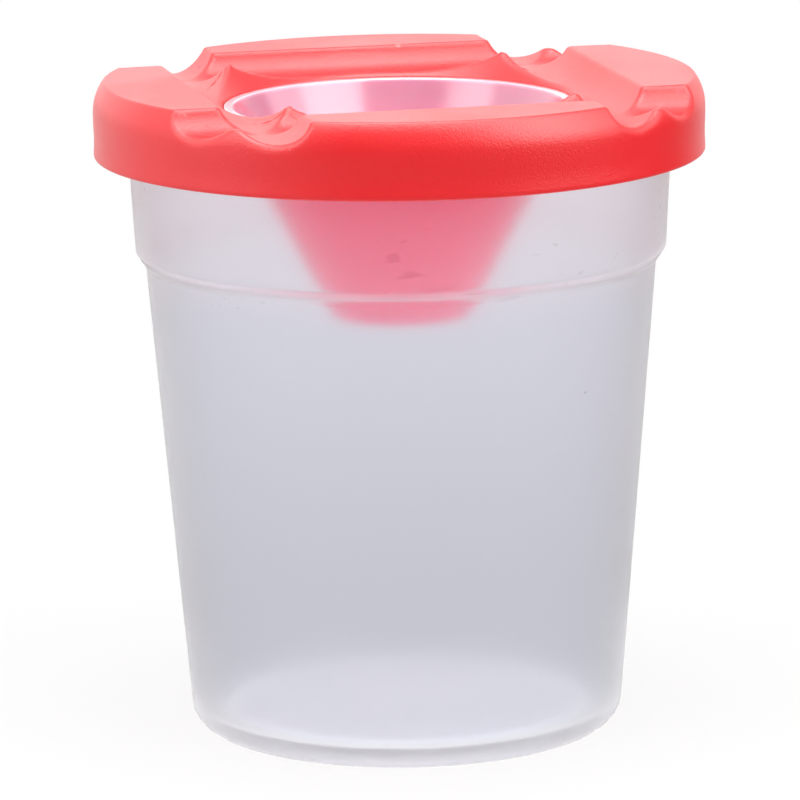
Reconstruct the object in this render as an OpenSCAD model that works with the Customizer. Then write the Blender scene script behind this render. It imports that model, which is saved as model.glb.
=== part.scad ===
// Non-spill brush washer: a tapered cup, a round lid with four brush rests and a funnel insert.
// The origin is the centre of the cup's foot, with +Z up. The brush rests run along X and Y.
// All sizes are in millimetres.

/* [Cup] */
// Height of the cup from its foot to its rim
cup_h = 87.75; // [78:0.25:110]
// Outer radius of the tapered body, carried down to the table
base_r = 30.25; // [26:0.25:33]
// Outer radius of the body just under the step
body_top_r = 35.8; // [34.5:0.1:36.4]
// Height of the step's lower edge
step_z = 66.5; // [50:0.5:72]
// How far the step stands out
step_out = 1.4; // [0.6:0.1:1.8]
// Height over which the step stands out
step_h = 2.1; // [1:0.1:4]
// How far the collar leans out from the step up to the rim
collar_out = 1.05; // [0.6:0.05:1.8]
// Thickness of the cup's wall
cup_wall = 1.3; // [0.9:0.1:2]
// Thickness of the cup's floor
floor_t = 1.6; // [1:0.1:3]
// Height of the hollow under the floor
foot_hollow = 1.2; // [0.6:0.1:3]
// Width of the flat ring that the cup stands on
foot_w = 2.4; // [1.5:0.1:4]
// Radius of the round between the foot and the body
foot_round = 4; // [2:0.25:6]
// Radius of the round between the floor and the wall inside
inner_round = 3.2; // [1.5:0.1:5]
// How far the bead round the rim stands out
bead_out = 0.5; // [0.2:0.05:0.9]
// Height of the bead round the rim
bead_h = 2.2; // [1.4:0.1:4]
// Radius of the round on the rim's edges
rim_round = 0.35; // [0.1:0.05:0.55]

/* [Lid] */
// Gap between the cup's bead and the inside of the lid's skirt
skirt_gap = 2.7; // [1.5:0.1:5]
// Height of the lid from the skirt's edge to its flat top
lid_h = 10.5; // [8.5:0.25:16]
// Thickness of the lid's shell
lid_wall = 1.3; // [0.9:0.05:1.8]
// Height of the rounded shoulder under the flat top
shoulder_h = 4.3; // [3:0.1:6]
// How far the shoulder leans in
shoulder_in = 1.5; // [0.8:0.05:2.4]
// Radius of the round on the skirt's lower edge
skirt_round = 0.4; // [0.1:0.05:0.5]
// How far the plug ring reaches down into the cup
plug_h = 5; // [3:0.25:9]
// Thickness of the plug ring
plug_t = 1.2; // [0.8:0.1:2]
// Gap between the plug ring and the cup's wall
plug_gap = 0.15; // [0.1:0.01:0.3]
// Gap between the lid's underside and the cup's rim
seat_gap = 0.15; // [0.05:0.01:0.3]

/* [Brush rests] */
// Distance of each rest's centre line from the lid's axis
rest_at = 25; // [24:0.1:27]
// Radius of the round bottom of each rest
rest_r = 4.8; // [4.2:0.05:5.4]
// Depth of each rest below the flat top
rest_depth = 3.3; // [2.6:0.05:3.8]

/* [Funnel] */
// Outer radius of the band round the funnel's rim
funnel_r = 24.5; // [23:0.1:25]
// How far the funnel's rim lies below the lid's flat top
funnel_drop = 3.85; // [3.5:0.05:5]
// Height of the band round the funnel's rim
band_h = 3.25; // [2:0.05:5]
// Thickness of the band round the funnel's rim
band_t = 1.25; // [1:0.05:1.8]
// Width of the flat ring under the band that rests in the lid
seat_w = 0.7; // [0.5:0.05:1.1]
// Height of the whole funnel
funnel_h = 29.75; // [20:0.25:40]
// Outer radius of the funnel's tip
tip_r = 9.8; // [6:0.1:14]
// Thickness of the funnel's cone, measured level
cone_t = 1.2; // [0.9:0.05:1.6]
// Radius of the round on the funnel's rim and tip
lip_round = 0.4; // [0.1:0.05:0.45]
// Gap round the funnel in the lid
funnel_gap = 0.12; // [0.05:0.01:0.25]
// Thickness of the collar that holds the funnel
collar_t = 1.2; // [0.9:0.05:1.6]

/* [Hidden] */
$fn = 96;
// Number of flats that stand for each rounded corner in an outline
ARC_STEPS = 6;
// How far a cutter runs past the face that it cuts
PAST = 1;
// How much higher the rests along Y lie, so that crossing rests don't touch in one point only
CROSS_RISE = 0.05;

// Cup, from its foot up
body_lean = (body_top_r - base_r) / step_z;
body_angle = atan(body_lean);
foot_x = base_r + body_lean * foot_round - foot_round / cos(body_angle);
foot_in_r = foot_x - foot_w;
step_top_z = step_z + step_h;
step_top_r = body_top_r + step_out;
rim_r = step_top_r + collar_out;
collar_lean = (rim_r - step_top_r) / (cup_h - step_top_z);
floor_z = foot_hollow + floor_t;
bead_r = rim_r + bead_out;
mouth_r = rim_r - cup_wall;
inner_base_r = base_r - cup_wall;
inner_round_x = inner_base_r + body_lean * (floor_z + inner_round) - inner_round / cos(body_angle);

// Lid, from the cup's rim up
lid_r = bead_r + skirt_gap + lid_wall;
rest_floor_z = cup_h + seat_gap + lid_wall;
top_z = rest_floor_z + rest_depth;
skirt_z = top_z - lid_h;
shoulder_z = top_z - shoulder_h;
shoulder_r = (pow(shoulder_h, 2) + pow(shoulder_in, 2)) / (2 * shoulder_in);
shoulder_x = lid_r - shoulder_r;
rest_axis_z = rest_floor_z + rest_r;
rest_length = 2 * (lid_r + PAST);
plug_z = cup_h - plug_h;
plug_low_r = mouth_r - collar_lean * plug_h - plug_gap;
plug_top_r = mouth_r - plug_gap;

// Funnel, from its rim down
funnel_rim_z = top_z - funnel_drop;
seat_z = funnel_rim_z - band_h;
tip_z = funnel_rim_z - funnel_h;
cone_top_r = funnel_r - seat_w;
cone_lean = (cone_top_r - tip_r) / (seat_z - tip_z);
band_in_r = funnel_r - band_t;
band_in_z = seat_z + (band_in_r - (cone_top_r - cone_t)) / cone_lean;
pocket_r = funnel_r + funnel_gap;
ledge_in_r = cone_top_r + funnel_gap;
ledge_z = seat_z - collar_t;
mouth_flare = funnel_drop + PAST;
collar_r = pocket_r + collar_t;
flare_backing = lid_wall * sqrt(2);

// Points of an arc in the outline plane, from angle a to angle b
function arc(x, z, r, a, b) =
    [for (i = [0:ARC_STEPS]) let (t = a + (b - a) * i / ARC_STEPS) [x + r * cos(t), z + r * sin(t)]];

// The cup's half outline: up the outside, over the rim, down the inside
function cup_outline() = concat(
    [[foot_in_r, 0]],
    arc(foot_x, foot_round, foot_round, -90, -body_angle),
    [[body_top_r, step_z], [step_top_r, step_top_z]],
    [[rim_r - collar_lean * bead_h, cup_h - bead_h], [bead_r, cup_h - bead_h + bead_out]],
    arc(bead_r - rim_round, cup_h - rim_round, rim_round, 0, 90),
    arc(mouth_r + rim_round, cup_h - rim_round, rim_round, 90, 180),
    [[step_top_r - cup_wall, step_top_z], [body_top_r - cup_wall, step_z]],
    arc(inner_round_x, floor_z + inner_round, inner_round, -body_angle, -90),
    [[0, floor_z], [0, foot_hollow], [foot_in_r - foot_hollow, foot_hollow]]
);

// Half outline of the lid's outside, filled to the axis
function lid_outline() = concat(
    [[0, skirt_z]],
    arc(lid_r - skirt_round, skirt_z + skirt_round, skirt_round, -90, 0),
    arc(shoulder_x, shoulder_z, shoulder_r, 0, asin(shoulder_h / shoulder_r)),
    [[0, top_z]]
);

// Half outline of the space under the lid's shell
function lid_space_outline() = concat(
    [[0, skirt_z - PAST], [lid_r - lid_wall, skirt_z - PAST]],
    arc(shoulder_x, shoulder_z, shoulder_r - lid_wall, 0,
        asin((shoulder_h - lid_wall) / (shoulder_r - lid_wall))),
    [[0, top_z - lid_wall]]
);

// Half outline of the ring that plugs the cup's mouth
function plug_outline() = [
    [plug_low_r - plug_t, plug_z],
    [plug_low_r, plug_z],
    [plug_top_r, cup_h],
    [plug_top_r, top_z],
    [plug_top_r - plug_t, top_z],
    [plug_top_r - plug_t, cup_h]
];

// The funnel's half outline: up the outside, over the rim, down the inside
function funnel_outline() = concat(
    arc(tip_r - lip_round, tip_z + lip_round, lip_round, -90, 0),
    [[cone_top_r, seat_z], [funnel_r, seat_z]],
    arc(funnel_r - lip_round, funnel_rim_z - lip_round, lip_round, 0, 90),
    arc(band_in_r + lip_round, funnel_rim_z - lip_round, lip_round, 90, 180),
    [[band_in_r, band_in_z], [tip_r - cone_t, tip_z]]
);

// A round bar along each brush rest's centre line
module rest_bars(r) {
    for (turn = [0, 1], side = [-1, 1]) {
        rotate([0, 0, turn * 90])
            translate([0, side * rest_at, rest_axis_z + turn * CROSS_RISE])
                rotate([0, 90, 0])
                    cylinder(h = rest_length, r = r, center = true);
    }
}

// The collar and the flared mouth that hold the funnel, as solid forms
module funnel_holder() {
    translate([0, 0, ledge_z])
        cylinder(h = top_z - ledge_z, r = collar_r);
    translate([0, 0, funnel_rim_z])
        cylinder(h = funnel_drop, r1 = pocket_r + flare_backing, r2 = pocket_r + flare_backing + funnel_drop);
}

// What is cut away for the funnel: its mouth, its pocket and the way through
module funnel_cut() {
    translate([0, 0, funnel_rim_z])
        cylinder(h = mouth_flare, r1 = pocket_r, r2 = pocket_r + mouth_flare);
    translate([0, 0, seat_z])
        cylinder(h = band_h + PAST, r = pocket_r);
    translate([0, 0, ledge_z - PAST])
        cylinder(h = collar_t + 2 * PAST, r = ledge_in_r);
}

module cup() {
    color([0.80, 0.80, 0.84, 0.45])
        rotate_extrude()
            polygon(cup_outline());
}

module lid() {
    color([0.92, 0.24, 0.24])
        difference() {
            rotate_extrude()
                polygon(lid_outline());
            difference() {
                rotate_extrude()
                    polygon(lid_space_outline());
                rest_bars(rest_r + lid_wall);
                funnel_holder();
                rotate_extrude()
                    polygon(plug_outline());
            }
            rest_bars(rest_r);
            funnel_cut();
        }
}

module funnel() {
    color([0.93, 0.52, 0.62])
        rotate_extrude()
            polygon(funnel_outline());
}

cup();
lid();
funnel();
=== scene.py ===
"""Looks of a non-spill brush washer: a frosted cup, a coral lid with four brush rests and a pink funnel.

Outlines are given in millimetres from the cup's axis and from the table, as in the part's own source.
Every finished mesh is in metres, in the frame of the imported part.
"""

import logging
import math
from dataclasses import dataclass
from enum import Enum
from typing import Iterable, Sequence

import bmesh
import bpy
import numpy as np
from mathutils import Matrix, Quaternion, Vector
from mathutils.geometry import delaunay_2d_cdt


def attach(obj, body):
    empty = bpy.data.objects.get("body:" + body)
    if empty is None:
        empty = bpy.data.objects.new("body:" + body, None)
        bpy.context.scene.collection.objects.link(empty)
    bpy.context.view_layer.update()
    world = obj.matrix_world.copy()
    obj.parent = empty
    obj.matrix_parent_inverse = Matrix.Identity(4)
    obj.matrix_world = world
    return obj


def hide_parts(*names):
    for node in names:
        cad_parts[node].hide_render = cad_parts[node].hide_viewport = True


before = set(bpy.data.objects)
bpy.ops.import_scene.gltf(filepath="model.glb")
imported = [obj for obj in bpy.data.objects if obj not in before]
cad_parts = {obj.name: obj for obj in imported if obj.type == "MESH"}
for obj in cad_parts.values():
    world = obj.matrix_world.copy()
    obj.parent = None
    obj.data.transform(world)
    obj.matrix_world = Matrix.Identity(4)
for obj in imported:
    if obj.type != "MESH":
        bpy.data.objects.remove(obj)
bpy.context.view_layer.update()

LOG = logging.getLogger("brush_washer")
MM = 0.001
WELD = 1e-6
TINY = 1e-9
WHITE = (1.0, 1.0, 1.0, 1.0)

Point2 = tuple[float, float]
Point3 = tuple[float, float, float]
Colour = tuple[float, float, float, float]
Skin = tuple[np.ndarray, np.ndarray]
Pin = bpy.types.NodeSocket
Node = bpy.types.Node
Tree = bpy.types.NodeTree
Mesh = bpy.types.Mesh
Material = bpy.types.Material
Piece = bpy.types.Object


class Slot(Enum):
    """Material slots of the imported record."""

    CUP = "frosted_cup"
    LID = "coral_lid"
    FUNNEL = "pink_funnel"


class Body(Enum):
    """Bodies that pieces ride on."""

    CUP = "cup"
    LID = "lid"
    FUNNEL = "funnel"


class Kind(Enum):
    """Kinds of socket in a node group's interface."""

    NUMBER = "NodeSocketFloat"
    COUNT = "NodeSocketInt"
    VECTOR = "NodeSocketVector"
    COLOUR = "NodeSocketColor"
    SHAPE = "NodeSocketGeometry"
    MATERIAL = "NodeSocketMaterial"


def srgb(red: int, green: int, blue: int) -> Colour:
    """Turns a screen colour into the linear colour that a shader takes.

    Args:
        red: Red, 0 to 255.
        green: Green, 0 to 255.
        blue: Blue, 0 to 255.

    Returns:
        The linear colour with an alpha of 1.
    """

    def linear(level: int) -> float:
        """One channel's linear value."""
        share = level / 255
        return share / 12.92 if share <= 0.04045 else ((share + 0.055) / 1.055) ** 2.4

    return linear(red), linear(green), linear(blue), 1.0


def outward(azimuth: float, elevation: float) -> Vector:
    """Unit direction away from the cup, in degrees, with azimuth 0 on the -Y side."""
    turn, lift = math.radians(azimuth), math.radians(elevation)
    return Vector((math.sin(turn) * math.cos(lift), -math.cos(turn) * math.cos(lift), math.sin(lift)))


def add_object(name: str, data: bpy.types.ID) -> Piece:
    """Makes an object of a mesh, a lamp or a camera and links it to the scene.

    Args:
        name: Name of the object.
        data: What the object shows.

    Returns:
        The object, at the origin.
    """
    made = bpy.data.objects.new(name, data)
    bpy.context.scene.collection.objects.link(made)
    return made


def aim(viewer: Piece, target: Vector, away: Vector, distance: float, roll_deg: float = 0.0) -> None:
    """Puts a lamp or a camera at a distance from its target and turns it to face it.

    Args:
        viewer: The lamp's or the camera's object.
        target: Point to face, in metres.
        away: Unit direction from the target.
        distance: Distance from the target, in metres.
        roll_deg: Turn about the line of sight.
    """
    viewer.location = target + away * distance
    viewer.rotation_mode = "QUATERNION"
    roll = Quaternion((0, 0, 1), math.radians(roll_deg))
    viewer.rotation_quaternion = (-away).to_track_quat("-Z", "Y") @ roll


def add_mask(mesh: Mesh, name: str, values: np.ndarray) -> None:
    """Keeps one value for each vertex as an attribute, which the material reads."""
    mesh.attributes.new(name, "FLOAT", "POINT").data.foreach_set("value", values.astype(np.float32))


class Graph:
    """Short ways to add nodes to one tree and to join them."""

    # The Mix node's sockets for colours have the same names as those for numbers, so they go by number.
    FIRST_COLOUR, SECOND_COLOUR, MIXED_COLOUR = 6, 7, 2

    def __init__(self, tree: Tree) -> None:
        """Keeps the tree that nodes are added to."""
        self.tree = tree

    @classmethod
    def cleared(cls, owner: Material | bpy.types.World) -> "Graph":
        """Gives a material or a world an empty tree.

        Args:
            owner: The material or the world.

        Returns:
            The tree's graph.
        """
        owner.use_nodes = True
        owner.node_tree.nodes.clear()
        return cls(owner.node_tree)

    def node(self, kind: str, **settings: object) -> Node:
        """Adds a node.

        Args:
            kind: The node's Blender type.
            **settings: Properties of the node, by name.

        Returns:
            The new node.
        """
        made = self.tree.nodes.new(kind)
        for name, value in settings.items():
            setattr(made, name, value)
        return made

    def join(self, source: object, target: Pin) -> None:
        """Links a socket to an input, or sets the input where the source is a plain value.

        Args:
            source: A socket or a value.
            target: The input.
        """
        if isinstance(source, Pin):
            self.tree.links.new(source, target)
        else:
            target.default_value = source

    def fill(self, node: Node, sources: dict[str | int, object]) -> None:
        """Joins a socket or a plain value to each named or numbered input of a node."""
        for name, source in sources.items():
            self.join(source, node.inputs[name])

    def math(self, operation: str, first: object, second: object = 0.0) -> Pin:
        """Adds a Math node.

        Args:
            operation: The operation's Blender name.
            first: A socket or a number.
            second: A socket or a number.

        Returns:
            The node's output.
        """
        made = self.node("ShaderNodeMath", operation=operation)
        self.fill(made, {0: first, 1: second})
        return made.outputs[0]

    def times(self, first: object, second: object) -> Pin:
        """Multiplies two values."""
        return self.math("MULTIPLY", first, second)

    def rest(self, share: object) -> Pin:
        """What a share leaves of 1."""
        return self.math("SUBTRACT", 1.0, share)

    def largest(self, first: object, *others: object) -> Pin:
        """Finds the largest of some values.

        Args:
            first: A socket or a number.
            *others: More of them.

        Returns:
            The largest value.
        """
        for other in others:
            first = self.math("MAXIMUM", first, other)
        return first

    def spread(self, value: object, low: float, high: float, start: object = 0.0, end: object = 1.0) -> Pin:
        """Maps a value smoothly from low..high to start..end.

        Args:
            value: A socket or a number.
            low: Value that gives start.
            high: Value that gives end.
            start: First result, a socket or a number.
            end: Last result, a socket or a number.

        Returns:
            The mapped value.
        """
        made = self.node("ShaderNodeMapRange", interpolation_type="SMOOTHSTEP")
        self.fill(made, {"Value": value, "From Min": low, "From Max": high, "To Min": start, "To Max": end})
        return made.outputs["Result"]

    def noise(self, vector: object, scale: object, detail: float) -> Pin:
        """Adds a noise texture.

        Args:
            vector: Coordinates.
            scale: Scale, per metre.
            detail: Octaves.

        Returns:
            The noise value, around 0.5.
        """
        made = self.node("ShaderNodeTexNoise")
        self.fill(made, {"Vector": vector, "Scale": scale, "Detail": detail})
        return made.outputs["Fac"]

    def measure(self, operation: str, vector: Pin, other: Sequence[float] = (0.0, 0.0, 0.0)) -> Pin:
        """Measures a vector.

        Args:
            operation: LENGTH, or DISTANCE or DOT_PRODUCT with the other vector.
            vector: The vector.
            other: The other vector.

        Returns:
            The measure.
        """
        made = self.node("ShaderNodeVectorMath", operation=operation)
        self.fill(made, {0: vector, 1: other})
        return made.outputs["Value"]

    def blend(self, share: object, first: object, second: object) -> Pin:
        """Mixes two colours.

        Args:
            share: Share of the second colour.
            first: A colour or a socket.
            second: A colour or a socket.

        Returns:
            The mixed colour.
        """
        made = self.node("ShaderNodeMix", data_type="RGBA")
        self.fill(made, {"Factor": share, self.FIRST_COLOUR: first, self.SECOND_COLOUR: second})
        return made.outputs[self.MIXED_COLOUR]

    def either(self, share: object, first: Node, second: Node) -> Pin:
        """Mixes two shaders.

        Args:
            share: Share of the second shader.
            first: A shader's node.
            second: A shader's node.

        Returns:
            The mixed shader.
        """
        made = self.node("ShaderNodeMixShader")
        self.fill(made, {0: share, 1: first.outputs[0], 2: second.outputs[0]})
        return made.outputs[0]


def shader_group(
    name: str, inputs: Sequence[tuple[str, Kind, object]], outputs: Sequence[tuple[str, Kind]]
) -> tuple[Graph, dict[str, Pin], dict[str, Pin]]:
    """Starts a shader node group with named sockets.

    Args:
        name: Name of the group.
        inputs: Name, kind and first value of each input.
        outputs: Name and kind of each output.

    Returns:
        The group's graph, its input sockets by name and its output sockets by name.
    """
    tree = bpy.data.node_groups.new(name, "ShaderNodeTree")
    for label, kind, value in inputs:
        made = tree.interface.new_socket(label, in_out="INPUT", socket_type=kind.value)
        if value is not None:
            made.default_value = value
    for label, kind in outputs:
        tree.interface.new_socket(label, in_out="OUTPUT", socket_type=kind.value)
    graph = Graph(tree)
    entry = graph.node("NodeGroupInput")
    leave = graph.node("NodeGroupOutput")
    given = {label: entry.outputs[label] for label, _, _ in inputs}
    result = {label: leave.inputs[label] for label, _ in outputs}
    return graph, given, result


class PlasticEffects:
    """The effects that the three plastics share, each built once as a node group."""

    GREY = (0.8, 0.8, 0.8, 1.0)
    DARKER_GREY = (0.7, 0.7, 0.7, 1.0)
    SCRATCH_TURN = (0.6, 0.35, 0.9)
    SCRATCH_STRETCH = (1.0, 18.0, 18.0)
    # Noise values between which each mask grows from 0 to 1
    SCRATCH_LINE = (0.72, 0.8)
    SCRATCH_PLACE = (0.5, 0.6)
    SMUDGE_EDGE = (0.42, 0.68)
    DRIFT_EDGE = (0.35, 0.65)

    def __init__(self) -> None:
        """Builds the three groups."""
        self.grain = self.moulded_grain()
        self.marks = self.handling_marks()
        self.drift = self.colour_drift()

    def moulded_grain(self) -> Tree:
        """Builds the fine grain of the mould's steel with the slow ripple of cooled plastic.

        Returns:
            The group, which gives a height from 0 to 1.
        """
        graph, given, result = shader_group(
            "moulded_grain",
            [("Vector", Kind.VECTOR, None), ("Grain Scale", Kind.NUMBER, 2600.0),
             ("Ripple Scale", Kind.NUMBER, 90.0), ("Ripple Share", Kind.NUMBER, 0.4)],
            [("Height", Kind.NUMBER)])
        fine = graph.noise(given["Vector"], given["Grain Scale"], 3.0)
        slow = graph.noise(given["Vector"], given["Ripple Scale"], 1.0)
        fine_part = graph.times(fine, graph.rest(given["Ripple Share"]))
        slow_part = graph.times(slow, given["Ripple Share"])
        graph.join(graph.math("ADD", fine_part, slow_part), result["Height"])
        return graph.tree

    def handling_marks(self) -> Tree:
        """Builds the short hairline scratches and the soft smudges that handling leaves.

        Returns:
            The group, which gives each as a mask from 0 to 1.
        """
        graph, given, result = shader_group(
            "handling_marks",
            [("Vector", Kind.VECTOR, None), ("Scratch Scale", Kind.NUMBER, 60.0),
             ("Smudge Scale", Kind.NUMBER, 45.0)],
            [("Scratches", Kind.NUMBER), ("Smudges", Kind.NUMBER)])
        place, scale = given["Vector"], given["Scratch Scale"]
        drawn = graph.node("ShaderNodeMapping")
        graph.fill(drawn, {"Vector": place, "Rotation": self.SCRATCH_TURN, "Scale": self.SCRATCH_STRETCH})
        line = graph.spread(graph.noise(drawn.outputs["Vector"], scale, 0.0), *self.SCRATCH_LINE)
        where = graph.spread(graph.noise(place, scale, 1.0), *self.SCRATCH_PLACE)
        smudges = graph.spread(graph.noise(place, given["Smudge Scale"], 4.0), *self.SMUDGE_EDGE)
        graph.join(graph.times(line, where), result["Scratches"])
        graph.join(smudges, result["Smudges"])
        return graph.tree

    def colour_drift(self) -> Tree:
        """Builds a plastic's slow drift between two near colours.

        Returns:
            The group, which gives the colour.
        """
        graph, given, result = shader_group(
            "colour_drift",
            [("Vector", Kind.VECTOR, None), ("Scale", Kind.NUMBER, 30.0),
             ("Colour", Kind.COLOUR, self.GREY), ("Drifted Colour", Kind.COLOUR, self.DARKER_GREY)],
            [("Colour", Kind.COLOUR)])
        share = graph.spread(graph.noise(given["Vector"], given["Scale"], 3.0), *self.DRIFT_EDGE)
        graph.join(graph.blend(share, given["Colour"], given["Drifted Colour"]), result["Colour"])
        return graph.tree


@dataclass
class Dressing:
    """A material in the making, and the sockets from which a finish goes on."""

    material: Material
    graph: Graph
    shader: Node
    output: Node
    place: Pin
    colour: Pin
    roughness: Pin
    scratches: Pin
    smudges: Pin

    def mask(self, name: str) -> Pin:
        """A mask that the mesh holds as an attribute."""
        return self.graph.node("ShaderNodeAttribute", attribute_name=name).outputs["Fac"]


@dataclass(frozen=True)
class Finish:
    """What every plastic finish has: its name, two near colours, roughness, grain and scratches."""

    name: str
    colour: Colour
    drifted: Colour
    roughness: float
    roughness_swing: float
    grain_scale: float
    grain_depth_mm: float
    ripple_share: float
    scratch_depth: float

    def start(self, effects: PlasticEffects) -> Dressing:
        """Makes the material with its roughness and grain.

        Args:
            effects: The shared effects.

        Returns:
            The material, whose colour is still to be joined.
        """
        material = bpy.data.materials.new(self.name)
        graph = Graph.cleared(material)
        shader = graph.node("ShaderNodeBsdfPrincipled")
        output = graph.node("ShaderNodeOutputMaterial")
        graph.join(shader.outputs["BSDF"], output.inputs["Surface"])
        place = graph.node("ShaderNodeTexCoord").outputs["Object"]
        drift, marks, grain = (
            graph.node("ShaderNodeGroup", node_tree=tree)
            for tree in (effects.drift, effects.marks, effects.grain))
        graph.fill(drift, {"Vector": place, "Colour": self.colour, "Drifted Colour": self.drifted})
        graph.fill(marks, {"Vector": place})
        graph.fill(grain, {
            "Vector": place, "Grain Scale": self.grain_scale, "Ripple Share": self.ripple_share})
        scratches, smudges = marks.outputs["Scratches"], marks.outputs["Smudges"]
        roughness = graph.math("ADD", self.roughness, graph.times(smudges, self.roughness_swing))
        height = graph.math("ADD", grain.outputs["Height"], graph.times(scratches, -self.scratch_depth))
        bump = graph.node("ShaderNodeBump")
        graph.fill(bump, {"Height": height, "Distance": self.grain_depth_mm * MM, "Strength": 1.0})
        graph.fill(shader, {"Roughness": roughness, "Normal": bump.outputs["Normal"]})
        colour = drift.outputs["Colour"]
        return Dressing(material, graph, shader, output, place, colour, roughness, scratches, smudges)


@dataclass(frozen=True)
class CoralShell(Finish):
    """Matte coral plastic, paler along its lips and corners as a painted highlight, and at two small pale
    spots.
    """

    # A painted highlight along the lips and corners: its colour, its share, and the part of it left where
    # there are no smudges
    lip_highlight: Colour = srgb(255, 120, 118)
    lip_highlight_share: float = 0.35
    least_lip_highlight: float = 0.5
    specular: float = 0.8
    # Two small pale spots on the lid: their radius, the share of it that is fully pale, and how pale they
    # are
    pale_spot_mm: float = 0.55
    pale_spot_core: float = 0.6
    pale_spot_share: float = 0.6

    # Centres of the pale spots, in millimetres
    PALE_SPOTS = ((-7.7, -37.3, 92.2), (6.9, 29.8, 92.3))

    def build(self, effects: PlasticEffects) -> Material:
        """Builds the finish.

        Args:
            effects: The shared effects.

        Returns:
            The finished material.
        """
        dressing = self.start(effects)
        graph = dressing.graph
        # Paler lips and corners: a painted highlight, uneven with the smudges, joined by the pale spots
        unevenly = graph.spread(dressing.smudges, 0.0, 1.0, self.least_lip_highlight, 1.0)
        share = graph.times(graph.times(dressing.mask("lip"), unevenly), self.lip_highlight_share)
        pale_spot_m = self.pale_spot_mm * MM
        for spot in self.PALE_SPOTS:
            apart = graph.measure("DISTANCE", dressing.place, [value * MM for value in spot])
            pale_spot = graph.spread(apart, pale_spot_m * self.pale_spot_core, pale_spot_m, self.pale_spot_share, 0.0)
            share = graph.largest(share, pale_spot)
        colour = graph.blend(share, dressing.colour, self.lip_highlight)
        graph.fill(dressing.shader, {"Base Color": colour, "Specular IOR Level": self.specular})
        return dressing.material


@dataclass(frozen=True)
class PinkGloss(Finish):
    """Glossy pink plastic that lets a little light through, with painted reflections inside and a painted
    highlight at its lip.
    """

    scatter: float = 0.85
    scatter_mm: float = 5.0
    scatter_reach: Point3 = (1.0, 0.35, 0.45)
    specular: float = 0.8
    polish: float = 0.9
    polish_roughness: float = 0.2
    # Painted reflections: the inside's paler, cooler pink
    inside: Colour = srgb(210, 133, 160)
    # Painted highlight on the lip, whose colour also pales the tip
    lip: Colour = srgb(242, 200, 216)
    scuffed: Colour = srgb(196, 60, 92)
    scuff_share: float = 0.6

    def build(self, effects: PlasticEffects) -> Material:
        """Builds the finish, with scuffs on the outside only.

        Args:
            effects: The shared effects.

        Returns:
            The finished material.
        """
        dressing = self.start(effects)
        graph = dressing.graph
        # The inside gets a paler, cooler tone as painted reflections; scuffs stay on the outside
        within = dressing.mask("inside")
        scuffs = graph.times(graph.times(dressing.scratches, graph.rest(within)), self.scuff_share)
        toned = graph.blend(scuffs, graph.blend(within, dressing.colour, self.inside), self.scuffed)
        graph.fill(dressing.shader, {
            # The lip's colour is a painted highlight; towards the tip it only makes the pink paler
            "Base Color": graph.blend(dressing.mask("lip"), toned, self.lip),
            "Subsurface Weight": self.scatter,
            "Subsurface Radius": self.scatter_reach,
            "Subsurface Scale": self.scatter_mm * MM,
            "Specular IOR Level": self.specular,
            "Coat Weight": self.polish,
            "Coat Roughness": self.polish_roughness,
        })
        return dressing.material


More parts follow.
